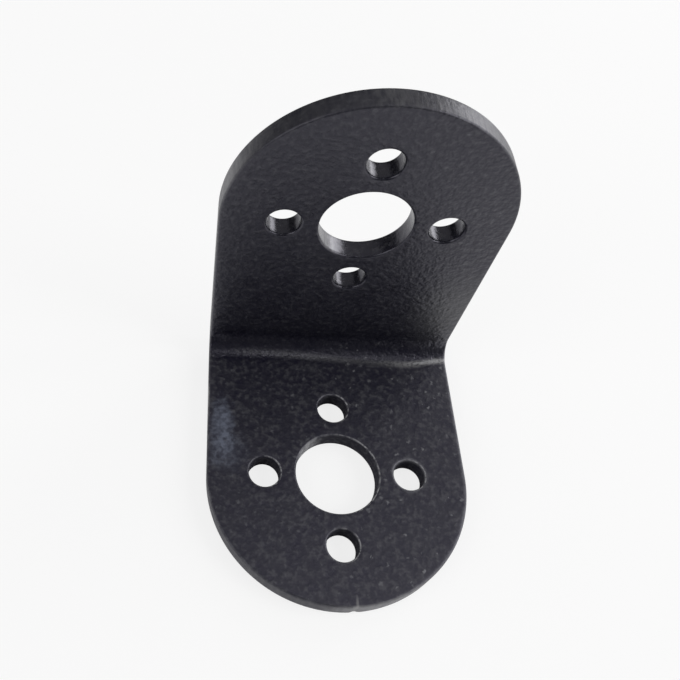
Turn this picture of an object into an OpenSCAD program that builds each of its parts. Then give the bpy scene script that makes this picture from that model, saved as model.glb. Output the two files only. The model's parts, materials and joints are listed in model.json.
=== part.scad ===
// L-shaped servo bracket: one strip of coated sheet metal with round ends, folded once at a right angle.
// Both legs carry the same pattern, a hub bore inside a ring of screw holes, centred on the round end.
// The origin is the centre of the base's pattern on its underside, +Z is up and +Y is towards the upright.

/* [Sheet] */
// Thickness of the sheet
sheet_t = 2; // [1:0.1:3.5]
// Width of the strip, which is also the diameter of its round ends
strip_w = 25; // [20:0.5:40]
// Radius that rounds every edge of the sheet and both rims of every hole
edge_r = 0.2; // [0.05:0.05:0.4]

/* [Fold] */
// Radius on the inside of the fold
bend_r = 2; // [0.5:0.1:3.5]

/* [Legs] */
// Distance from the back of the upright to the centre of the base's pattern
base_reach = 16.5; // [14:0.5:60]
// Height from the underside of the base to the centre of the upright's pattern
upright_reach = 20.5; // [14:0.5:60]

/* [Holes] */
// Diameter of the hub bore
hub_d = 8; // [4:0.1:9]
// Diameter of the circle that the screw holes are centred on
screw_circle_d = 14; // [13:0.1:18]
// Diameter of each screw hole
screw_d = 3; // [2:0.1:4]
// Number of screw holes around each hub bore
screw_count = 4; // [2:1:8]

/* [Hidden] */

// Colour of the coating
coat = "#2a2a2c";

// Facets of a full circle on the round ends, the fold and the holes, and on the small rounded edges
$fn = 96;
edge_fn = 24;

// How far a hole's cutter runs past each face of the sheet
overcut = 1;

// What the fold takes up along each leg, measured from the outside of the other leg
fold_set = sheet_t + bend_r;
base_run = base_reach - fold_set;
upright_run = upright_reach - fold_set;

// A bar of the sheet in section, w across and sheet_t high, with its four corners rounded
module section(w) {
  translate([edge_r, 0]) square([w - 2 * edge_r, sheet_t]);
  translate([0, edge_r]) square([w, sheet_t - 2 * edge_r]);
  for (x = [edge_r, w - edge_r], y = [edge_r, sheet_t - edge_r])
    translate([x, y]) circle(edge_r, $fn = edge_fn);
}

// The strip's own section, centred across its width
module strip_section() {
  translate([-strip_w / 2, 0]) section(strip_w);
}

// Half disc that ends a leg, on the -Y side of the pattern's centre
module round_end() {
  rotate(180) rotate_extrude(angle = 180) intersection() {
    strip_section();
    square([strip_w / 2, sheet_t]);
  }
}

// Straight strip from the pattern's centre towards the fold, along +Y
module straight(run) {
  translate([0, run, 0]) rotate([90, 0, 0]) linear_extrude(run) strip_section();
}

// Cutter for a hole right through the sheet, its two rims rounded like the sheet's edges
module hole(d) {
  rotate_extrude() difference() {
    translate([0, -overcut]) square([d / 2 + edge_r, sheet_t + 2 * overcut]);
    translate([d / 2, 0]) section(d);
  }
}

// Hub bore and screw holes, with the first screw hole on the leg's centre line
module hole_pattern() {
  hole(hub_d);
  for (i = [0 : screw_count - 1])
    rotate(90 + i * 360 / screw_count) translate([screw_circle_d / 2, 0, 0]) hole(screw_d);
}

// One leg lying flat, its pattern centred on the origin and its fold end at y = run
module leg(run) {
  difference() {
    union() {
      round_end();
      straight(run);
    }
    hole_pattern();
  }
}

// Quarter turn that joins the two legs, about an axis that lies above the base and before the upright
module fold() {
  translate([0, base_run, fold_set]) rotate([0, 90, 0])
    rotate_extrude(angle = 90) translate([fold_set, 0]) rotate(90) strip_section();
}

// The whole folded strip
module bracket() {
  color(coat) {
    leg(base_run);
    fold();
    translate([0, base_reach - sheet_t, upright_reach]) rotate([-90, 0, 0]) leg(upright_run);
  }
}

bracket();
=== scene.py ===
# %% [markdown]
# # A folded servo bracket in black-coated sheet
#
# The real bracket is one strip of sheet metal. A press punches its outline and its holes, a brake folds it
# once at a right angle, and then it is coated in satin black. This lesson makes it in the same order: a flat
# blank, its thickness, its rounded edges, the fold, and last the coat with the marks that use has left on it
# and with highlights, sheen and shade that are painted into its colour.
#
# The imported CAD model comes first. It is the fixed frame: every size below is read from it, and the finished
# mesh has to lie where its solid lies.

# %% Load the frame
import json
import math
import bmesh
import bpy
from mathutils import Matrix, Vector


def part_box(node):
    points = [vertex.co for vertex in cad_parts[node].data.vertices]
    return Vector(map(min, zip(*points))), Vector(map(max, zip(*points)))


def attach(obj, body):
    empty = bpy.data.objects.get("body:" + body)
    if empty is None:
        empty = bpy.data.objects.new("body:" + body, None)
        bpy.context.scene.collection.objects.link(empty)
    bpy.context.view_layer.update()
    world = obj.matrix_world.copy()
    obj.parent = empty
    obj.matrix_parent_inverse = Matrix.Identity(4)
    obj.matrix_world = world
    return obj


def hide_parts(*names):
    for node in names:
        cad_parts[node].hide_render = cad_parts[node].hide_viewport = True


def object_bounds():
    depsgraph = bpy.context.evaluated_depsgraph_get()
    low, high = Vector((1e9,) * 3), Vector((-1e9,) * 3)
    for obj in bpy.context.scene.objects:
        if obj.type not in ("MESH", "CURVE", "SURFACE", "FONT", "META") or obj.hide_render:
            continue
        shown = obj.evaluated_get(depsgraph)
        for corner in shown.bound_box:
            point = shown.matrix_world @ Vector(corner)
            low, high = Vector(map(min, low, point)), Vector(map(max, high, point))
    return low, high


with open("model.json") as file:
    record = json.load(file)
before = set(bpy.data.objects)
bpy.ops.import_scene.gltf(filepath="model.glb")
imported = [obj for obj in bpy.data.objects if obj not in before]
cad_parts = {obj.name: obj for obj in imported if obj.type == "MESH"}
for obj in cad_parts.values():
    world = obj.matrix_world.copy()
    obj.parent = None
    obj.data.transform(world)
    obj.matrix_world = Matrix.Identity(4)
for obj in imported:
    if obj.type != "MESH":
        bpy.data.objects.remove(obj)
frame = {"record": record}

cad_low, cad_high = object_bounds()
mm = 0.001
print("CAD box in mm:", [round(side / mm, 2) for side in cad_high - cad_low])

# %% [markdown]
# ## Sizes
#
# A good model has few driving sizes. The box of the solid gives the width of the strip and where its legs
# end. The mounts in the record give the hub bore, the screw holes and the circle that they stand on. The
# bore's mount sits half way through the sheet, so twice its height is the thickness, and what the straight
# part of the bore leaves of that thickness is the radius on the two rims. Only the inside radius of the fold
# is in neither, so it is a named value here.

# %% Read the sizes from the frame
box_low, box_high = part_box("bracket")
mounts = {mount["name"]: mount for mount in frame["record"]["mounts"]}
bore = mounts["base_bore"]
screws = mounts["base_screws"]["dims"]

strip_w = box_high.x - box_low.x
sheet_t = 2 * bore["pos_m"][2]
edge_r = (sheet_t - bore["dims"]["length_mm"] * mm) / 2
hub_r = bore["dims"]["r_mm"] * mm
screw_r = screws["hole_r_mm"] * mm
screw_ring_r = screws["pcd_mm"] * mm / 2
bend_r = 2 * mm

base_run = box_high.y - sheet_t - bend_r
upright_run = mounts["upright_bore"]["pos_m"][2] - sheet_t - bend_r
print("sheet", sheet_t / mm, "strip", strip_w / mm, "edge", edge_r / mm)
print("straight legs", base_run / mm, "and", upright_run / mm)

# %% [markdown]
# ## The blank's own coordinates
#
# A sheet that is folded keeps its length on the line half way through its thickness. So the fold takes up a
# quarter circle of that middle radius, and the flat blank is as long as both legs and that quarter together.
# In the flat state x runs across the strip, y along it and z through the sheet. The origin is the centre of
# the base's hole pattern, and `upright_v` is the centre of the other pattern, measured along the blank.

# %% Lay out the blank
fold_run = math.pi / 2 * (bend_r + sheet_t / 2)
upright_v = base_run + fold_run + upright_run
holes = []
for pattern_v in (0, upright_v):
    holes.append((0, pattern_v, hub_r))
    for index in range(screws["count"]):
        angle = 2 * math.pi * index / screws["count"]
        holes.append((screw_ring_r * math.sin(angle), pattern_v + screw_ring_r * math.cos(angle), screw_r))
print(len(holes), "holes on a blank", round((upright_v + strip_w) / mm, 2), "mm long")

# %% [markdown]
# ## The outline
#
# Each end of the strip is half a circle. It could be a polygon typed in by hand, but a single vertex that is
# spun half a turn about the pattern's centre makes the same arc, exactly, from one number. Two edges join the
# ends of the arcs and close the outline. The sides are then subdivided, so that later the coat's masks have
# points along them to sit on.

# %% Draw the outline
end_steps = 200
side_cuts = 40
blank = bmesh.new()


def round_end(pattern_v, turn):
    """Spin one vertex half a turn about a pattern's centre, and return the two ends of the arc."""
    first = blank.verts.new((strip_w / 2, pattern_v, 0))
    spun = bmesh.ops.spin(
        blank, geom=[first], cent=(0, pattern_v, 0), axis=(0, 0, 1), angle=turn, steps=end_steps
    )
    last = [item for item in spun["geom_last"] if isinstance(item, bmesh.types.BMVert)]
    return first, last[0]


base_right, base_left = round_end(0, -math.pi)
upright_right, upright_left = round_end(upright_v, math.pi)
sides = [blank.edges.new((base_right, upright_right)), blank.edges.new((base_left, upright_left))]
bmesh.ops.subdivide_edges(blank, edges=sides, cuts=side_cuts)
print("outline of", len(blank.edges), "edges")

# %% [markdown]
# ## The holes
#
# Punched holes are circles inside the outline. Boolean cutters would also work, but they leave long thin
# faces round each rim. Here the circles are drawn first and `triangle_fill` fills what lies between them and
# the outline, so every rim has its own even ring of points.
#
# An inset then runs a narrow lip of quads along every cut edge. The lip keeps the big flat triangles away
# from the rounded edges, and it carries the masks for wear at the edges.

# %% Punch the holes and fill the sheet
hub_steps = 128
screw_steps = 72
lip_w = 0.6 * mm
for hole_u, hole_v, hole_r in holes:
    steps = hub_steps if hole_r == hub_r else screw_steps
    hole_place = Matrix.Translation((hole_u, hole_v, 0))
    bmesh.ops.create_circle(blank, cap_ends=False, radius=hole_r, segments=steps, matrix=hole_place)
bmesh.ops.triangle_fill(blank, use_beauty=True, edges=blank.edges[:], normal=(0, 0, 1))
bmesh.ops.inset_region(
    blank, faces=blank.faces[:], thickness=lip_w, use_boundary=True, use_even_offset=True
)
area = sum(face.calc_area() for face in blank.faces)
print("flat sheet of", len(blank.faces), "faces, area", round(area / mm**2, 1), "mm2")

# %% [markdown]
# ## Room for the fold
#
# A face can only bend where it has edges to bend at. Cutting planes across the strip, one every few degrees
# of the turn, give the fold its rows. `bisect_plane` adds the edges and leaves the flat shape as it was.

# %% Cut rows across the fold
fold_steps = 30
cut_snap = 1e-8


def cut_across(place, normal):
    """Add edges where a plane crosses the mesh, without changing its form."""
    everything = blank.verts[:] + blank.edges[:] + blank.faces[:]
    bmesh.ops.bisect_plane(blank, geom=everything, dist=cut_snap, plane_co=place, plane_no=normal)


for step in range(fold_steps + 1):
    cut_across((0, base_run + fold_run * step / fold_steps, 0), (0, 1, 0))
print("rows cut,", len(blank.faces), "faces")

# %% [markdown]
# ## Thickness and rounded edges
#
# Extruding all the faces at once gives the sheet its thickness and its walls, those of the holes included.
# The edges between a face and a wall are the only sharp ones, so they are found by their angle and bevelled
# with an even round. Real sheet is never sharp after tumbling and coating, and it is this small radius that
# catches the light in thin bright lines. Three more cuts through the walls give them a lip of their own at
# each face and a row of points at half their height.

# %% Give the sheet its thickness
edge_segments = 5
sharp_from = math.radians(60)
raised = bmesh.ops.extrude_face_region(blank, geom=blank.faces[:])
raised_verts = [item for item in raised["geom"] if isinstance(item, bmesh.types.BMVert)]
bmesh.ops.translate(blank, verts=raised_verts, vec=(0, 0, sheet_t))
bmesh.ops.recalc_face_normals(blank, faces=blank.faces[:])
sharp = [edge for edge in blank.edges if edge.calc_face_angle(0) > sharp_from]
bmesh.ops.bevel(
    blank, geom=sharp, offset=edge_r, offset_type="OFFSET", affect="EDGES",
    segments=edge_segments, profile=0.5, material=-1,
)
for level in (lip_w, sheet_t / 2, sheet_t - lip_w):
    cut_across((0, 0, level), (0, 0, 1))
open_edges = [edge for edge in blank.edges if not edge.is_manifold]
print("solid blank:", len(blank.faces), "faces,", len(open_edges), "open edges,",
      "volume", round(blank.calc_volume() / mm**3, 1), "mm3")

# %% [markdown]
# ## Masks that follow the sheet
#
# Wear depends on where a point lies on the sheet: on a face, on a cut wall, near an edge. That is easy to
# measure while the blank is still flat and hard afterwards, so five attributes are stored on the points now.
# `edge_near` is 1 on the rounded edges and fades out over the lip. `outer_wall` is 1 on the wall of the
# outline and `hole_wall` on the walls of the holes. `hole_side` runs from -1 at the left of the nearest hole
# to 1 at its right. `blank_mm` keeps the flat position in millimetres, so that a pattern can run along the
# sheet and round the fold.

# %% Measure on the flat blank
def gap_to_outline(u, v):
    """Distance from a point of the flat blank to its outline."""
    along_strip = min(max(v, 0), upright_v)
    return max(strip_w / 2 - math.hypot(u, v - along_strip), 0)


def gap_to_hole(u, v, hole):
    """Distance from a point of the flat blank to the wall of one hole."""
    hole_u, hole_v, hole_r = hole
    return math.hypot(u - hole_u, v - hole_v) - hole_r


def nearest_hole(u, v):
    """The hole whose wall is nearest to a point of the flat blank."""
    return min(holes, key=lambda hole: gap_to_hole(u, v, hole))


def side_of_hole(u, v):
    """Side of the nearest hole on which a point lies: -1 is its left and 1 its right."""
    hole_u, hole_v, hole_r = nearest_hole(u, v)
    return (u - hole_u) / max(math.hypot(u - hole_u, v - hole_v), hole_r)


print("gap between hub and screw holes:", round((screw_ring_r - screw_r - hub_r) / mm, 2), "mm")

# %% Store the masks while the blank is flat
edge_near = blank.verts.layers.float.new("edge_near")
outer_wall = blank.verts.layers.float.new("outer_wall")
hole_wall = blank.verts.layers.float.new("hole_wall")
hole_side = blank.verts.layers.float.new("hole_side")
blank_mm = blank.verts.layers.float_vector.new("blank_mm")
for vert in blank.verts:
    u, v, depth = vert.co
    from_outline = gap_to_outline(u, v)
    from_hole = max(gap_to_hole(u, v, nearest_hole(u, v)), 0)
    from_face = max(min(depth, sheet_t - depth), 0)
    vert[edge_near] = 1 - min(max(min(from_outline, from_hole), from_face) / lip_w, 1)
    vert[outer_wall] = 1 - min(from_outline / edge_r, 1)
    vert[hole_wall] = 1 - min(from_hole / edge_r, 1)
    vert[hole_side] = side_of_hole(u, v)
    vert[blank_mm] = vert.co / mm
print("masks stored on", len(blank.verts), "points")

# %% [markdown]
# ## A nick in the front edge
#
# The front edge of the base has been knocked once, just right of its middle. The nick is real form and not
# only a tone, so the points of the rim near it are pushed in: fully on the nick's own line, and less and less
# to both sides, as a smooth dent.

# %% Press the nick in
nick_angle = math.radians(4)
nick_reach = 0.5 * mm
nick_depth = 0.1 * mm
nick_out = Vector((math.sin(nick_angle), -math.cos(nick_angle), 0))
nick_place = nick_out * strip_w / 2
pressed = 0
for vert in blank.verts:
    near = 1 - math.hypot(vert.co.x - nick_place.x, vert.co.y - nick_place.y) / nick_reach
    if near > 0:
        vert.co -= nick_out * nick_depth * near * near * (3 - 2 * near)
        pressed += 1
print("nick pressed into", pressed, "points")

# %% [markdown]
# ## The fold
#
# The brake wraps the strip round its nose. Every point keeps its depth in the sheet, which sets its radius
# from the fold's axis, and its place along the blank sets how far it has turned. Points past the fold have
# turned through the whole right angle and then run on straight. A Simple Deform modifier bends a mesh too,
# but this short function puts the legs exactly where the solid has them.

# %% Fold the blank
axis_y = base_run
axis_z = sheet_t + bend_r


def folded(point):
    """Place of a point of the flat blank after the fold."""
    if point.y <= base_run:
        return point.copy()
    turn = min((point.y - base_run) / fold_run, 1) * math.pi / 2
    beyond = max(point.y - base_run - fold_run, 0)
    radius = axis_z - point.z
    y = axis_y + radius * math.sin(turn) + beyond * math.cos(turn)
    z = axis_z - radius * math.cos(turn) + beyond * math.sin(turn)
    return Vector((point.x, y, z))


for vert in blank.verts:
    vert.co = folded(vert.co)
print("folded: volume", round(blank.calc_volume() / mm**3, 1), "mm3")

# %% [markdown]
# ## The finished mesh
#
# The bmesh becomes one object at the origin. It stands for the CAD node and rides on the only body. All faces
# shade smooth, and a Weighted Normal modifier lets the large flat faces rule the normals, so that only the
# rounded edges and the fold shade as curves.

# %% Make the object
def make_object(name, form):
    """Turn a bmesh into an object at the origin."""
    mesh = bpy.data.meshes.new(name)
    form.to_mesh(mesh)
    form.free()
    made = bpy.data.objects.new(name, mesh)
    bpy.context.collection.objects.link(made)
    return made


sheet = make_object("bracket_sheet", blank)
sheet.data.polygons.foreach_set("use_smooth", [True] * len(sheet.data.polygons))
flat_rule = sheet.modifiers.new("flat_faces_rule", "WEIGHTED_NORMAL")
flat_rule.mode = "FACE_AREA"
flat_rule.weight = 100
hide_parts("bracket")
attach(sheet, "root")
print("bracket_sheet:", len(sheet.data.polygons), "faces,", len(sheet.data.vertices), "points")

# %% [markdown]
# ## Helpers for shader nodes
#
# A material is a tree of nodes. It could be wired one node and one link at a time, but then every small sum
# takes many lines. These helpers add a node and fill its inputs, and an input takes either a plain value or
# the output of another node. The first cell has the helpers for single nodes: arithmetic on values and on
# vectors, a smooth ramp that turns a value into a mask, and a mix. The second has those for node groups,
# which are effects that a material can use more than once, each time with other values.

# %% Helpers for single nodes
def plug(tree, socket, value):
    """Link an output to an input, or set the input's own value."""
    if isinstance(value, bpy.types.NodeSocket):
        tree.links.new(value, socket)
    else:
        socket.default_value = value


def add(tree, kind, settings=None, **inputs):
    """Add a node, set its properties and fill its named inputs."""
    node = tree.nodes.new(kind)
    for name, value in (settings or {}).items():
        setattr(node, name, value)
    for name, value in inputs.items():
        plug(tree, node.inputs[name.replace("_", " ")], value)
    return node


def calculate(tree, operation, first, second=0.0):
    """One step of arithmetic on values."""
    node = add(tree, "ShaderNodeMath", {"operation": operation})
    plug(tree, node.inputs[0], first)
    plug(tree, node.inputs[1], second)
    return node.outputs[0]


def vector_step(tree, operation, *values):
    """One step of arithmetic on vectors."""
    node = add(tree, "ShaderNodeVectorMath", {"operation": operation})
    for socket, value in zip(node.inputs, values):
        plug(tree, socket, value)
    return node.outputs


def ramp(tree, value, start, end, low=0.0, high=1.0):
    """Go smoothly from low to high while a value goes from start to end."""
    node = add(tree, "ShaderNodeMapRange", {"interpolation_type": "SMOOTHSTEP"})
    names = ("Value", "From Min", "From Max", "To Min", "To Max")
    for name, item in zip(names, (value, start, end, low, high)):
        plug(tree, node.inputs[name], item)
    return node.outputs["Result"]


def blend(tree, factor, first, second, kind="RGBA"):
    """Mix two colours, or two values with kind FLOAT, by a mask."""
    return add(tree, "ShaderNodeMix", {"data_type": kind}, Factor=factor, A=first, B=second).outputs["Result"]


print("helpers for single nodes ready")

# %% Helpers for node groups
def new_group(name, inputs, outputs):
    """Start a shader node group, and return it with the sockets of its inputs and outputs."""
    group = bpy.data.node_groups.new(name, "ShaderNodeTree")
    for socket_name, kind in inputs:
        group.interface.new_socket(socket_name, in_out="INPUT", socket_type=kind)
    for socket_name, kind in outputs:
        group.interface.new_socket(socket_name, in_out="OUTPUT", socket_type=kind)
    return group, group.nodes.new("NodeGroupInput").outputs, group.nodes.new("NodeGroupOutput").inputs


def place_group(tree, group, **inputs):
    """Place a group in a material with its own values."""
    return add(tree, "ShaderNodeGroup", {"node_tree": group}, **inputs).outputs


print("helpers for node groups ready")

# %% [markdown]
# ## Coat grain
#
# The coat is a baked powder. It has flowed out into low, uneven swells, about half a millimetre from one to
# the next, with smaller ones on them, which the noise's detail gives. Cells of a Voronoi texture would look
# like leather here, because their borders draw lines. A second, broad noise gives cloudy changes of tone. The
# group takes a position in millimetres, so the grain keeps its real size. Its height later drives the bump
# and also sets a painted highlight that makes the tops of the swells a little paler.

# %% Build the grain group
VECTOR = "NodeSocketVector"
FLOAT = "NodeSocketFloat"
grain_group, grain_in, grain_out = new_group(
    "coat_grain",
    [("Position", VECTOR), ("Swells per mm", FLOAT), ("Clouds per mm", FLOAT)],
    [("Height", FLOAT), ("Cloud", FLOAT)],
)
swells = add(
    grain_group, "ShaderNodeTexNoise", Vector=grain_in["Position"], Scale=grain_in["Swells per mm"],
    Detail=1.5, Roughness=0.5, Lacunarity=2.0,
)
clouds = add(
    grain_group, "ShaderNodeTexNoise", Vector=grain_in["Position"], Scale=grain_in["Clouds per mm"],
    Detail=4.0, Roughness=0.6,
)
plug(grain_group, grain_out["Height"], swells.outputs["Fac"])
plug(grain_group, grain_out["Cloud"], clouds.outputs["Fac"])
print("grain group:", len(grain_group.nodes), "nodes")

# %% [markdown]
# ## Specks
#
# Some grains of the powder haven't melted in and stand a little proud, and pale dots on them, half a
# millimetre across at most, are painted glints. Voronoi cells on the flat blank give one dot each, and a noise
# first pushes the position about, so the dots aren't round. Random values per cell decide whether its dot is
# there at all, how large it is and how pale. The third power keeps most of them faint, so that the dots don't
# look sown in rows.

# %% Build the speck group
speck_push = (0.5, 0.5, 0.5)
speck_smallest = 0.4
speck_faintness = 3.0
speck_group, speck_in, speck_out = new_group(
    "coat_specks",
    [("Position", VECTOR), ("Cells per mm", FLOAT), ("Share", FLOAT), ("Radius", FLOAT)],
    [("Mask", FLOAT)],
)
speck_noise = add(speck_group, "ShaderNodeTexNoise", Vector=speck_in["Position"], Scale=3.0, Detail=1.0)
speck_pushed = vector_step(
    speck_group, "MULTIPLY_ADD", speck_noise.outputs["Color"], speck_push, speck_in["Position"]
)["Vector"]
speck_cells = add(
    speck_group, "ShaderNodeTexVoronoi", {"voronoi_dimensions": "2D"}, Vector=speck_pushed,
    Scale=speck_in["Cells per mm"], Randomness=1.0,
)
speck_random = add(speck_group, "ShaderNodeSeparateColor", Color=speck_cells.outputs["Color"]).outputs
speck_there = calculate(speck_group, "LESS_THAN", speck_random["Red"], speck_in["Share"])
speck_reach = calculate(speck_group, "MULTIPLY", speck_in["Radius"], speck_in["Cells per mm"])
speck_share = ramp(speck_group, speck_random["Green"], 0.0, 1.0, speck_smallest, 1.0)
speck_size = calculate(speck_group, "MULTIPLY", speck_share, speck_reach)
speck_disc = ramp(speck_group, speck_cells.outputs["Distance"], speck_size, 0.0)
speck_pale = calculate(speck_group, "POWER", speck_random["Blue"], speck_faintness)
speck_tone = calculate(speck_group, "MULTIPLY", speck_disc, speck_pale)
plug(speck_group, speck_out["Mask"], calculate(speck_group, "MULTIPLY", speck_tone, speck_there))
print("speck group:", len(speck_group.nodes), "nodes")

# %% [markdown]
# ## Rubbed edges
#
# Handling rubs the coat thin along the edges, but never evenly. The mask that was stored on the points says
# how near an edge is, and a noise eats into it, so the rubbed line is broken into longer and shorter pieces.

# %% Build the rub group
rub_limit = 0.75
rub_softness = 0.25
rub_group, rub_in, rub_out = new_group(
    "edge_rub",
    [("Position", VECTOR), ("Edge", FLOAT), ("Breaks per mm", FLOAT), ("Amount", FLOAT)],
    [("Mask", FLOAT)],
)
rub_noise = add(
    rub_group, "ShaderNodeTexNoise", Vector=rub_in["Position"], Scale=rub_in["Breaks per mm"],
    Detail=5.0, Roughness=0.7,
)
rub_reach = calculate(rub_group, "MULTIPLY", rub_in["Edge"], rub_noise.outputs["Fac"])
rub_start = calculate(rub_group, "SUBTRACT", rub_limit, rub_in["Amount"])
rub_end = calculate(rub_group, "ADD", rub_start, rub_softness)
plug(rub_group, rub_out["Mask"], ramp(rub_group, rub_reach, rub_start, rub_end))
print("rub group:", len(rub_group.nodes), "nodes")

# %% [markdown]
# ## Soft patches
#
# Many marks sit at one place only: stretches of the wall that are paler, the painted sheen on the base, the
# bare spot below the fold. Each could be painted on an image, but the material has to stay free of images. So
# each is a ball of influence round a centre, stretched along the three axes, with a noise that makes its
# border ragged.

# %% Build the patch group
noise_middle = 0.5
patch_group, patch_in, patch_out = new_group(
    "soft_patch",
    [("Position", VECTOR), ("Centre", VECTOR), ("Reach", VECTOR), ("Ragged", FLOAT), ("Softness", FLOAT)],
    [("Mask", FLOAT)],
)
patch_offset = vector_step(patch_group, "SUBTRACT", patch_in["Position"], patch_in["Centre"])["Vector"]
patch_scaled = vector_step(patch_group, "DIVIDE", patch_offset, patch_in["Reach"])["Vector"]
patch_far = vector_step(patch_group, "LENGTH", patch_scaled)["Value"]
patch_noise = add(
    patch_group, "ShaderNodeTexNoise", Vector=patch_in["Position"], Scale=1.6, Detail=5.0, Roughness=0.65
)
patch_wave = calculate(patch_group, "SUBTRACT", patch_noise.outputs["Fac"], noise_middle)
patch_edge = calculate(patch_group, "MULTIPLY", patch_wave, patch_in["Ragged"])
patch_reach = calculate(patch_group, "ADD", patch_far, patch_edge)
patch_inner = calculate(patch_group, "SUBTRACT", 1.0, patch_in["Softness"])
plug(patch_group, patch_out["Mask"], ramp(patch_group, patch_reach, 1.0, patch_inner))
print("patch group:", len(patch_group.nodes), "nodes")

# %% [markdown]
# ## The black coat
#
# Almost all that one sees of a black coat is what it mirrors, so its own colour is very dark, and roughness
# and grain do most of the work. The material starts with what every mark below asks for: the place of a point
# on the folded sheet and on the flat blank, both in millimetres, and the masks stored on the points.

# %% Start the coat material
coat = bpy.data.materials.new("satin_black_coat")
coat.use_nodes = True
coat_tree = coat.node_tree
coat_shader = coat_tree.nodes["Principled BSDF"]


def stored(name, output="Fac"):
    """Read one of the masks that are stored on the points."""
    return add(coat_tree, "ShaderNodeAttribute", {"attribute_name": name}).outputs[output]


place_m = add(coat_tree, "ShaderNodeTexCoord").outputs["Object"]
per_mm = (1 / mm, 1 / mm, 1 / mm)
place_mm = add(coat_tree, "ShaderNodeMapping", Vector=place_m, Scale=per_mm).outputs["Vector"]
flat_mm = stored("blank_mm", "Vector")
flat_axes = add(coat_tree, "ShaderNodeSeparateXYZ", Vector=flat_mm).outputs
rim = stored("outer_wall")
inner = stored("hole_wall")
wall = calculate(coat_tree, "MAXIMUM", rim, inner)
sheet.data.materials.append(coat)
print("coat started with", len(coat_tree.nodes), "nodes")

# %% [markdown]
# ## Zones of the blank
#
# The two legs have different wear and painted light, the right side has more than the left, and the wet coat
# has pooled in the fold. On the flat blank these zones are plain ranges of x and y in millimetres, so short
# helpers turn them into masks: `across` runs over the width, `along` over the length, and `by_leg` has one
# value for each leg. `weakened` takes strength away where a mask lies.

# %% Mark the zones
fold_start = base_run / mm
fold_end = (base_run + fold_run) / mm
pool_start = fold_start - 1.0
pool_full = fold_start + 0.5
pool_fades = fold_end - 1.0
pool_end = fold_end + 2.0


def times(*values):
    """Multiply masks and values of the coat with each other."""
    product = values[0]
    for value in values[1:]:
        product = calculate(coat_tree, "MULTIPLY", product, value)
    return product


def across(start, end, low=0.0, high=1.0):
    """A value that changes over the width of the strip, between two places in millimetres."""
    return ramp(coat_tree, flat_axes["X"], start, end, low, high)


def along(start, end):
    """A mask that rises along the blank, between two places in millimetres."""
    return ramp(coat_tree, flat_axes["Y"], start, end)


def by_leg(upright, base):
    """One value on the upright and another on the base, with a smooth change in the fold."""
    return ramp(coat_tree, on_base, 0.0, 1.0, upright, base)


def weakened(mask, rest):
    """1 away from a mask, and only the rest where the mask is full."""
    return ramp(coat_tree, mask, 0.0, 1.0, 1.0, rest)


on_base = along(fold_end, fold_start)
pooled = times(along(pool_start, pool_full), along(pool_end, pool_fades))
print("fold from", round(fold_start, 2), "to", round(fold_end, 2), "mm along the blank")

# %% [markdown]
# ## Grain, specks and rubbed edges on the sheet
#
# The three groups that cover the whole sheet are placed with this coat's own values. Specks sit on the faces
# and not on the walls, and their painted glints are fainter at the left. The base's edges are rubbed more than
# the upright's, and its right side has a painted highlight along the edges as well.

# %% Place the groups that cover the sheet
grain = place_group(coat_tree, grain_group, Position=place_mm, Swells_per_mm=2.2, Clouds_per_mm=0.7)
speck_dots = place_group(
    coat_tree, speck_group, Position=flat_mm, Cells_per_mm=1.5, Share=0.4, Radius=0.3
)["Mask"]
off_walls = calculate(coat_tree, "SUBTRACT", 1.0, wall)
specks = times(speck_dots, off_walls, across(-8.0, 6.0, low=0.4, high=1.1))
# painted highlight along the base's right edges, added to the rubbed edges
base_right_edge_highlight = times(on_base, across(2.0, 7.0, low=0.0, high=0.2))
rub_and_highlight_amount = calculate(coat_tree, "ADD", by_leg(upright=0.28, base=0.4), base_right_edge_highlight)
rub_and_highlight = place_group(
    coat_tree, rub_group, Position=place_mm, Edge=stored("edge_near"), Breaks_per_mm=0.9, Amount=rub_and_highlight_amount
)["Mask"]
print("grain, specks and rub placed, now", len(coat_tree.nodes), "nodes")

# %% [markdown]
# ## Streaks on the cut walls
#
# A punch shears the metal, and the wall keeps fine streaks across the thickness. They are a noise on the flat
# blank that is stretched through the sheet, so it changes quickly along the edge and slowly across it. The
# streaks make the wall paler and also go into the bump. At the upper left of the upright the streaks are
# weakened as painted shade, so the wall stays darker there; this is the first of the soft patches.

# %% Draw the streaks
left_x = box_low.x / mm
right_x = box_high.x / mm
front_y = box_low.y / mm
upright_y = (box_high.y - sheet_t / 2) / mm
streak_stretch = (1, 1, 0.25)


def mark(centre, reach, ragged, softness):
    """A soft patch on the folded sheet, with its centre and its reach in millimetres."""
    return place_group(
        coat_tree, patch_group, Position=place_mm, Centre=centre, Reach=reach,
        Ragged=ragged, Softness=softness,
    )["Mask"]


streak_space = add(coat_tree, "ShaderNodeMapping", Vector=flat_mm, Scale=streak_stretch).outputs["Vector"]
streak_noise = add(
    coat_tree, "ShaderNodeTexNoise", Vector=streak_space, Scale=2.2, Detail=2.0, Roughness=0.6
).outputs["Fac"]
streaks = ramp(coat_tree, streak_noise, 0.3, 0.7, low=0.2, high=1.1)
# painted shade: the wall's streaks are weakened at the upright's upper left
wall_painted_shade = mark((-6.5, upright_y, 31.0), reach=(7.0, 3.0, 6.0), ragged=0.3, softness=0.5)
wall_share = times(by_leg(upright=1.0, base=0.8), weakened(wall_painted_shade, rest=0.3))
rim_streaks = times(streaks, wall_share, rim)
print("streaks run across", sheet_t / mm, "mm of wall")
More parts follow.
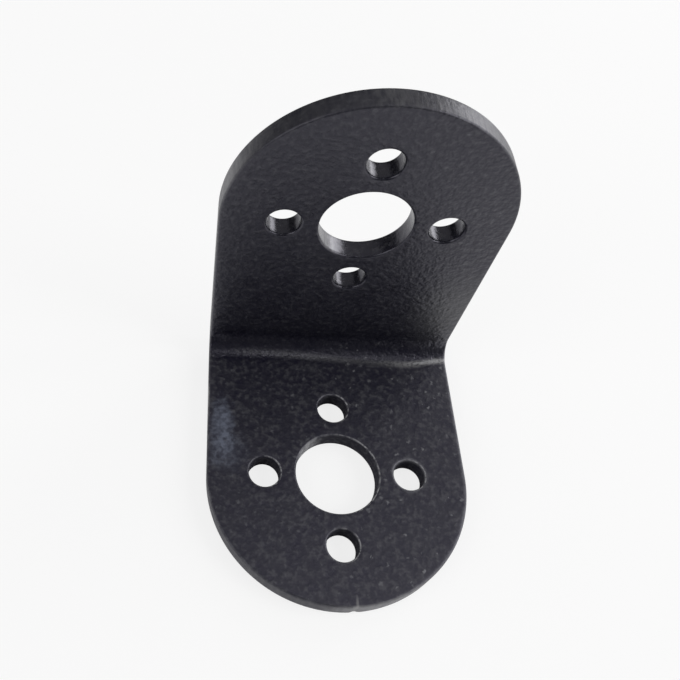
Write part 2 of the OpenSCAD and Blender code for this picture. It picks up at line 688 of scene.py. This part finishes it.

# %% [markdown]
# ## Paler stretches of the wall
#
# In three places the wall is paler: at the front end of the base, where it is rubbed and also carries a
# painted reflection of the floor in front, at its left side below the fold, where the coat is rubbed, and,
# half as strongly, at the upright's left side. Each is a soft patch, kept to the outer wall by its mask and
# broken by the same noise as the streaks.

# %% Make the wall paler
# painted reflection of the floor in front, with wear, at the base's front end
front_wear_and_reflection = mark((4.0, front_y + 1.0, 1.0), reach=(7.0, 4.5, 2.5), ragged=0.3, softness=0.5)
worn_left = mark((left_x, 7.6, 1.2), reach=(0.6, 3.0, 1.4), ragged=0.6, softness=0.6)
upright_wall_paler = mark((left_x + 0.5, upright_y, 24.5), reach=(2.0, 3.0, 3.5), ragged=0.3, softness=0.8)
upright_paler_share = 0.5
base_wear_and_light = calculate(coat_tree, "MAXIMUM", front_wear_and_reflection, worn_left)
wear_and_light_place = calculate(coat_tree, "MAXIMUM", base_wear_and_light, times(upright_wall_paler, upright_paler_share))
worn_and_lit = times(wear_and_light_place, rim, ramp(coat_tree, streak_noise, 0.2, 0.6, low=0.55, high=1.0))
print("wall worn at the base's front, at its left side and at the upright's left side")

# %% [markdown]
# ## The line in the fold
#
# A fine pale line runs across the strip on the inside of the fold, a painted highlight where the bend mirrors
# the light overhead. It starts where the fold starts, lies a little higher at both ends, fades out at the left
# and is broken by a noise. A strip of light in the room meets the fold at the left and draws the real
# highlight there, so there the painted line is faint, and it is brightest at the right end.

# %% Draw the line in the fold
face_z = sheet_t / mm
line_under = 0.8
line_full = 0.95
line_softness = 0.3
line_w = across(-3.0, 3.0, low=1.0, high=0.75)
lift_left = across(8.0, -10.0, low=0.05, high=1.2)
lift_right = across(8.0, 12.5, low=0.0, high=0.8)
line_lift = calculate(coat_tree, "ADD", lift_left, lift_right)
line_place = calculate(coat_tree, "ADD", fold_start, line_lift)
line_off = calculate(coat_tree, "ABSOLUTE", calculate(coat_tree, "SUBTRACT", flat_axes["Y"], line_place))
line_whole = ramp(coat_tree, line_off, line_w, 0.0)
line_inside = ramp(coat_tree, flat_axes["Z"], line_under * face_z, line_full * face_z)
line_noise = add(
    coat_tree, "ShaderNodeTexNoise", Vector=flat_mm, Scale=3.0, Detail=4.0, Roughness=0.65
).outputs["Fac"]
line_from = across(-8.0, 0.0, low=0.36, high=0.26)
line_broken = ramp(coat_tree, line_noise, line_from, calculate(coat_tree, "ADD", line_from, line_softness))
# painted highlight along the fold
fold_highlight = times(line_whole, line_inside, line_broken, across(-11.5, -8.0))
print("fold line starts", round(fold_start, 2), "mm along the blank")

# %% [markdown]
# ## Marks on the faces
#
# The base has a painted blue sheen near its left side, a reflection in two overlapping patches that the grain
# breaks up. A faint painted sheen lights the upright's lower right. The wall below the fold has a bare spot at
# the left, and the nick shows a little bare metal too.

# %% Place the marks on the faces
nick_mm = nick_place / mm
sheen_low_share = 0.5
# painted sheen, a reflection on the base's left side
sheen_high = mark((left_x + 1.3, 4.6, face_z), reach=(1.7, 4.4, 1.5), ragged=1.0, softness=0.9)
sheen_low = mark((left_x + 1.9, 2.0, face_z), reach=(2.6, 2.8, 1.5), ragged=1.0, softness=0.95)
sheen_whole = calculate(coat_tree, "ADD", sheen_high, times(sheen_low, sheen_low_share))
sheen_clouds = ramp(coat_tree, grain["Cloud"], 0.35, 0.65, low=0.5, high=1.0)
sheen_swells = ramp(coat_tree, grain["Height"], 0.3, 0.7, low=0.5, high=1.3)
painted_sheen = times(sheen_whole, sheen_clouds, sheen_swells)
# painted sheen at the upright's lower right
corner_sheen = mark((right_x - 0.5, upright_y - 1.0, 9.0), reach=(6.5, 2.0, 8.0), ragged=0.6, softness=1.0)
bare_spot = mark((left_x - 0.1, 8.4, 1.2), reach=(0.45, 1.5, 1.0), ragged=0.6, softness=0.5)
nick_mark = mark((nick_mm.x, nick_mm.y + 0.4, 1.2), reach=(0.24, 1.1, 1.3), ragged=0.3, softness=0.5)
print("haze, bare spot and nick placed, now", len(coat_tree.nodes), "nodes")

# %% [markdown]
# ## Marks at the holes
#
# The walls of both large bores are painted paler at their left sides, as light that falls on them from the
# right, and the noise of the streaks breaks these places up. The rounded rims of the base's holes carry a
# painted highlight, mostly at their right sides, in broken pieces too. The stored `hole_wall` mask rises over
# the rounding, so a band in the middle of its range is the rim itself.

# %% Place the marks at the holes
# painted light on the left walls of the two bores
hub_light_place = mark((-2.9, 2.75, 1.0), reach=(2.4, 2.4, 3.0), ragged=0.6, softness=0.9)
bore_light_place = mark((-2.9, upright_y, 17.7), reach=(2.2, 2.2, 2.2), ragged=0.3, softness=0.8)
bore_streaks = ramp(coat_tree, streak_noise, 0.35, 0.65, low=0.65, high=1.15)
hub_wall_lit = times(hub_light_place, inner, bore_streaks)
bore_wall_lit = times(bore_light_place, inner, bore_streaks)
# painted highlight on the rounded rims of the base's holes, mostly at their right sides
hole_round = times(ramp(coat_tree, inner, 0.05, 0.4), ramp(coat_tree, inner, 0.95, 0.6))
hole_rim_highlight_side = ramp(coat_tree, stored("hole_side"), -0.2, 0.9, low=0.15, high=1.0)
hole_broken = ramp(coat_tree, streak_noise, 0.4, 0.6, low=0.1, high=1.0)
hole_rim_highlight = times(hole_round, on_base, hole_rim_highlight_side, hole_broken)
print("worn bores and rubbed rims placed, now", len(coat_tree.nodes), "nodes")

# %% [markdown]
# ## Colours
#
# Each mark is a mask and a colour, and they lie over each other like thin coats of paint. First comes the
# coat itself, a little bluer on the base, with cloudy tone. Then come a painted highlight on the tops of the
# swells, the specks with their painted glints, two patches of painted sheen, the streaked walls with painted
# shade at the upright's upper left, the rubbed edges with a painted highlight along the base's right side,
# painted highlights on the rims of the holes, the walls paled by wear with a painted reflection at the base's
# front, painted light in the bores and the painted highlight of the line in the fold. Bare metal is last. A
# list of pairs and one loop are easier to read than a mix node for each by hand.

# %% Name the colours
coat_black = (0.003, 0.003, 0.008, 1)
coat_blue = (0.005, 0.0045, 0.013, 1)
coat_cloud = (0.007, 0.007, 0.013, 1)
# painted highlight on the tops of the swells
swell_top_highlight_grey = (0.036, 0.036, 0.042, 1)
# painted glints on the specks
speck_glint_grey = (0.15, 0.152, 0.16, 1)
# painted sheen at the upright's lower right
corner_sheen_grey = (0.055, 0.056, 0.056, 1)
# painted blue sheen on the base
sheen_grey = (0.11, 0.124, 0.165, 1)
wall_grey = (0.055, 0.055, 0.058, 1)
# rubbed edges, with a painted highlight along the base's right side
rub_and_highlight_grey = (0.11, 0.11, 0.12, 1)
# painted highlight on the rims of the base's holes
hole_rim_highlight_grey = (0.32, 0.32, 0.33, 1)
# paler walls with a painted reflection, and painted light on the bores' walls
wear_and_light_grey = (0.21, 0.21, 0.215, 1)
# painted light on the hub bore's wall
hub_wall_lit_grey = (0.36, 0.36, 0.37, 1)
# painted highlight of the fold, from faint at the left to bright at the right
fold_highlight_grey = (0.06, 0.06, 0.065, 1)
fold_highlight_bright = (0.3, 0.3, 0.3, 1)
bare_metal = (0.36, 0.355, 0.345, 1)
print("darkest coat", coat_black[:3], "and bare metal", bare_metal[:3])

# %% Lay the colours over each other
swell_highlight_power = 2.0
rub_strength = 0.6
nick_strength = 0.4
# A painted highlight makes the tops of the swells paler, more on the base and less in the fold.
swell_top_highlight = calculate(coat_tree, "POWER", ramp(coat_tree, grain["Height"], 0.3, 0.8), swell_highlight_power)
swell_highlight_tone = times(by_leg(upright=0.9, base=1.3), weakened(pooled, rest=0.2))
fold_highlight_tone = blend(coat_tree, across(4.0, 12.0), fold_highlight_grey, fold_highlight_bright)
layers = [
    (ramp(coat_tree, grain["Cloud"], 0.3, 0.7), coat_cloud),
    (times(swell_top_highlight, swell_highlight_tone), swell_top_highlight_grey),
    (times(specks, by_leg(upright=0.3, base=1.0)), speck_glint_grey),
    (corner_sheen, corner_sheen_grey),
    (painted_sheen, sheen_grey),
    (rim_streaks, wall_grey),
    (times(rub_and_highlight, rub_strength), rub_and_highlight_grey),
    (hole_rim_highlight, hole_rim_highlight_grey),
    (calculate(coat_tree, "MAXIMUM", worn_and_lit, bore_wall_lit), wear_and_light_grey),
    (hub_wall_lit, hub_wall_lit_grey),
    (fold_highlight, fold_highlight_tone),
    (calculate(coat_tree, "MAXIMUM", bare_spot, times(nick_mark, nick_strength)), bare_metal),
]
colour = blend(coat_tree, on_base, coat_black, coat_blue)
for mask, tone in layers:
    colour = blend(coat_tree, mask, colour, tone)
plug(coat_tree, coat_shader.inputs["Base Color"], colour)
print(len(layers), "layers of colour in", len(coat_tree.nodes), "nodes")

# %% [markdown]
# ## Gloss
#
# Roughness decides how sharply the coat mirrors the room. It changes with the clouds, is a little higher on
# the upright, and falls where the coat has pooled smooth in the fold. The cut wall is rougher round the base
# than round the upright, and screws have burnished the walls of the upright's holes. Only the bare spot is
# partly metallic.

# %% Set the gloss
pooled_gloss = 0.07
bare_metallic = 0.5
gloss = ramp(coat_tree, grain["Cloud"], 0.3, 0.7, low=0.36, high=0.44)
gloss = calculate(coat_tree, "ADD", gloss, by_leg(upright=0.03, base=0.0))
gloss = calculate(coat_tree, "SUBTRACT", gloss, times(pooled, pooled_gloss))
gloss = blend(coat_tree, rim, gloss, by_leg(upright=0.45, base=0.65), "FLOAT")
gloss = blend(coat_tree, inner, gloss, by_leg(upright=0.26, base=0.8), "FLOAT")
plug(coat_tree, coat_shader.inputs["Roughness"], gloss)
plug(coat_tree, coat_shader.inputs["Metallic"], times(bare_spot, bare_metallic))
coat_shader.inputs["Specular IOR Level"].default_value = 0.7
coat_shader.inputs["Specular Tint"].default_value = (0.88, 0.86, 1, 1)
print("gloss set, now", len(coat_tree.nodes), "nodes")

# %% [markdown]
# ## Relief
#
# The swells are less than a tenth of a millimetre high, far too fine for the mesh, so a Bump node turns their
# height into normals. They are strongest at the upright's right side and in the fold, and weak on the cut
# walls. The specks stand out a little. A second bump adds the streaks of the outer wall.

# %% Set the relief
pooled_relief = 0.5
speck_relief = 0.1
swell_share = by_leg(upright=across(-4.0, 9.0, low=0.6, high=1.2), base=0.5)
swell = times(grain["Height"], swell_share, weakened(wall, rest=0.4))
swell = calculate(coat_tree, "ADD", swell, times(pooled, grain["Height"], pooled_relief))
height = calculate(coat_tree, "ADD", swell, times(specks, speck_relief))
grain_bump = add(coat_tree, "ShaderNodeBump", Strength=1.0, Distance=0.085 * mm, Height=height)
streak_bump = add(
    coat_tree, "ShaderNodeBump", Strength=0.25, Distance=0.05 * mm, Height=rim_streaks,
    Normal=grain_bump.outputs["Normal"],
)
plug(coat_tree, coat_shader.inputs["Normal"], streak_bump.outputs["Normal"])
print("coat finished with", len(coat_tree.nodes), "nodes")

# %% [markdown]
# ## Floor
#
# The bracket stands on a plain white sheet of paper. A plane would do, but a large disc has no corner that a
# camera could see. It lies a hair below the underside of the base, so the two never share a surface.

# %% Make the floor
floor_reach = 1.5
floor_drop = 0.02 * mm
floor_form = bmesh.new()
floor_place = Matrix.Translation((0, 0, -floor_drop))
bmesh.ops.create_circle(floor_form, cap_ends=True, radius=floor_reach, segments=96, matrix=floor_place)
floor = make_object("floor", floor_form)
print("floor", 2 * floor_reach, "m across")

# %% [markdown]
# ## Paper
#
# For the camera, and for what the coat mirrors, most of the floor's light comes from an emission of 1, which
# is plain white, and the rest is shaded as usual. The share of emission grows with the distance from the
# bracket, so the paper stays white and still keeps the soft shadow. A black coat shows little else than what
# it mirrors. So in reflections the glow is left out under the base, where it would light the walls of the
# holes, and it is weakened far away, where it would draw a second line in the fold.

# %% Make the paper
glow_near = 0.8
glow_start = 2 * strip_w
glow_end = 12 * strip_w
shade_start = 0.75 * strip_w / 2
shade_end = 0.95 * strip_w / 2
fade_start = 1.6 * strip_w
fade_end = 3 * strip_w
fade_low = 0.2
paper = bpy.data.materials.new("white_paper")
paper.use_nodes = True
paper_tree = paper.node_tree
paper_shader = paper_tree.nodes["Principled BSDF"]
paper_shader.inputs["Base Color"].default_value = (0.95, 0.95, 0.95, 1)
paper_shader.inputs["Roughness"].default_value = 0.9
paper_shader.inputs["Specular IOR Level"].default_value = 0.1
paper_place = add(paper_tree, "ShaderNodeTexCoord").outputs["Object"]
paper_far = vector_step(paper_tree, "LENGTH", paper_place)["Value"]
paper_open = ramp(paper_tree, paper_far, shade_start, shade_end)
paper_fade = ramp(paper_tree, paper_far, fade_start, fade_end, 1.0, fade_low)
paper_lit = calculate(paper_tree, "MULTIPLY", paper_open, paper_fade)
floor.data.materials.append(paper)
print("paper glows fully from", round(glow_end, 2), "m")

# %% Show the paper's glow to the camera and to reflections
light_path = add(paper_tree, "ShaderNodeLightPath").outputs
mirrored = calculate(paper_tree, "MAXIMUM", light_path["Is Glossy Ray"], light_path["Is Transmission Ray"])
mirrored_lit = calculate(paper_tree, "MULTIPLY", mirrored, paper_lit)
paper_shown = calculate(paper_tree, "MAXIMUM", light_path["Is Camera Ray"], mirrored_lit)
glow_share = ramp(paper_tree, paper_far, glow_start, glow_end, glow_near, 1.0)
paper_share = calculate(paper_tree, "MULTIPLY", paper_shown, glow_share)
paper_glow = add(paper_tree, "ShaderNodeEmission", Color=(1, 1, 1, 1), Strength=1.0)
paper_mix = add(paper_tree, "ShaderNodeMixShader", Fac=paper_share)
plug(paper_tree, paper_mix.inputs[1], paper_shader.outputs[0])
plug(paper_tree, paper_mix.inputs[2], paper_glow.outputs[0])
plug(paper_tree, paper_tree.nodes["Material Output"].inputs["Surface"], paper_mix.outputs[0])
print("paper in", len(paper_tree.nodes), "nodes")

# %% [markdown]
# ## A dark screen for the reflections
#
# A black gloss coat is photographed by choosing what it mirrors. In a bright room on all sides its edges and
# its fold would turn grey. So a dark screen stands round the bracket, open to the right, and only reflections
# see it: it throws no shadow and the camera looks through it. One upright edge, spun about the middle, makes
# it.

# %% Put up the screen
screen_r = 0.6
screen_h = 0.42
screen_open = math.radians(50)
screen_form = bmesh.new()
screen_foot = Vector((math.cos(screen_open), math.sin(screen_open), 0)) * screen_r
screen_head = screen_foot + Vector((0, 0, screen_h))
screen_ends = [screen_form.verts.new(screen_foot), screen_form.verts.new(screen_head)]
screen_edge = screen_form.edges.new(screen_ends)
bmesh.ops.spin(
    screen_form, geom=screen_ends + [screen_edge], cent=(0, 0, 0), axis=(0, 0, 1),
    angle=2 * math.pi - 2 * screen_open, steps=64,
)
screen = make_object("dark_screen", screen_form)
screen.visible_camera = False
screen.visible_diffuse = False
screen.visible_transmission = False
screen.visible_shadow = False
felt = bpy.data.materials.new("dark_felt")
felt.use_nodes = True
felt_shader = felt.node_tree.nodes["Principled BSDF"]
felt_shader.inputs["Base Color"].default_value = (0.05, 0.05, 0.05, 1)
felt_shader.inputs["Roughness"].default_value = 1.0
screen.data.materials.append(felt)
print("screen of", len(screen.data.polygons), "faces,", screen_h, "m high")

# %% [markdown]
# ## The room
#
# The camera sees plain white beyond the floor. For all other rays the room is white near the floor and darker
# overhead, and darkest above the front, where the camera stands. The black coat mirrors it, so this is what
# makes the upright lighter than the base. In a world's shader, the Generated coordinate is the direction in
# which a ray leaves.

# %% Light the room
ceiling_back = 0.4
ceiling_front = 0.06
ceiling_start = 0.45
toward_front = -0.6
toward_back = 0.25
room = bpy.data.worlds.new("pale_room")
bpy.context.scene.world = room
room.use_nodes = True
room_tree = room.node_tree
room_glow = room_tree.nodes["Background"]
room_glow.inputs["Color"].default_value = (1, 1, 1, 1)
direction = add(room_tree, "ShaderNodeTexCoord").outputs["Generated"]
toward = add(room_tree, "ShaderNodeSeparateXYZ", Vector=direction).outputs
ceiling = ramp(room_tree, toward["Y"], toward_front, toward_back, ceiling_front, ceiling_back)
room_light = ramp(room_tree, toward["Z"], 0.0, ceiling_start, 1.0, ceiling)
room_seen = add(room_tree, "ShaderNodeLightPath").outputs["Is Camera Ray"]
plug(room_tree, room_glow.inputs["Strength"], blend(room_tree, room_seen, room_light, 1.0, "FLOAT"))
print("room with a ceiling of", ceiling_front, "to", ceiling_back)

# %% [markdown]
# ## Lamps
#
# A large soft lamp stands at the right, and a low one behind it on the right lights the walls of the holes. A
# narrow strip overhead, turned to lie along the fold's reflection, draws the left part of the line in the
# fold. A weak lamp fills in from the left. Together they light a white floor to about white.

# %% Hang the lamps
def soft_lamp(name, place, size, watts, length=None, turned=0):
    """A square lamp, or a strip if it is given a length and a turn, that looks at the bracket's middle."""
    lamp = bpy.data.lights.new(name, "AREA")
    lamp.shape = "RECTANGLE"
    lamp.size = size
    lamp.size_y = length or size
    lamp.energy = watts
    holder = bpy.data.objects.new(name, lamp)
    aim = (cad_low + cad_high) / 2
    facing = (aim - Vector(place)).to_track_quat("-Z", "Y").to_matrix().to_4x4()
    holder.matrix_world = Matrix.Translation(place) @ facing @ Matrix.Rotation(math.radians(turned), 4, "Z")
    bpy.context.collection.objects.link(holder)
    print(name, watts, "W from", place)


soft_lamp("right_lamp", place=(0.48, -0.06, 0.36), size=0.35, watts=1.7)
soft_lamp("low_lamp", place=(0.38, 0.32, 0.15), size=0.25, watts=0.75)
soft_lamp("overhead_strip", place=(0.067, -0.005, 0.5), size=0.04, watts=0.1, length=0.18, turned=68)
soft_lamp("left_lamp", place=(-0.4, -0.15, 0.3), size=0.35, watts=0.7)

# %% [markdown]
# ## Camera
#
# The camera looks down steeply from the front left, close to the bracket, so the legs taper strongly towards
# the far ends. Its place was found by fitting the rims of the holes and the outlines. A small shift puts the
# bracket where it stands in the frame.

# %% Set up the camera
camera_data = bpy.data.cameras.new("camera")
camera_data.sensor_width = 36
camera_data.lens = 38.6
camera_data.shift_x = 0.145
camera_data.shift_y = 0.029
camera_data.clip_start = 0.001
camera = bpy.data.objects.new("camera", camera_data)
bpy.context.collection.objects.link(camera)
bpy.context.scene.camera = camera
eye = Vector((-14.2, -27.29, 66.1)) * mm
look_at = Vector((-10.48, 2.0, 18.73)) * mm
roll = math.radians(8.23)
looking = (look_at - eye).to_track_quat("-Z", "Y").to_matrix().to_4x4()
camera.matrix_world = Matrix.Translation(eye) @ looking @ Matrix.Rotation(roll, 4, "Z")
print("camera looks along", [round(part, 3) for part in (look_at - eye).normalized()])

# %% [markdown]
# ## Finish
#
# The view transform stays Standard, so that a colour comes out as it was written.

# %% Finish
bpy.context.scene.view_settings.view_transform = "Standard"
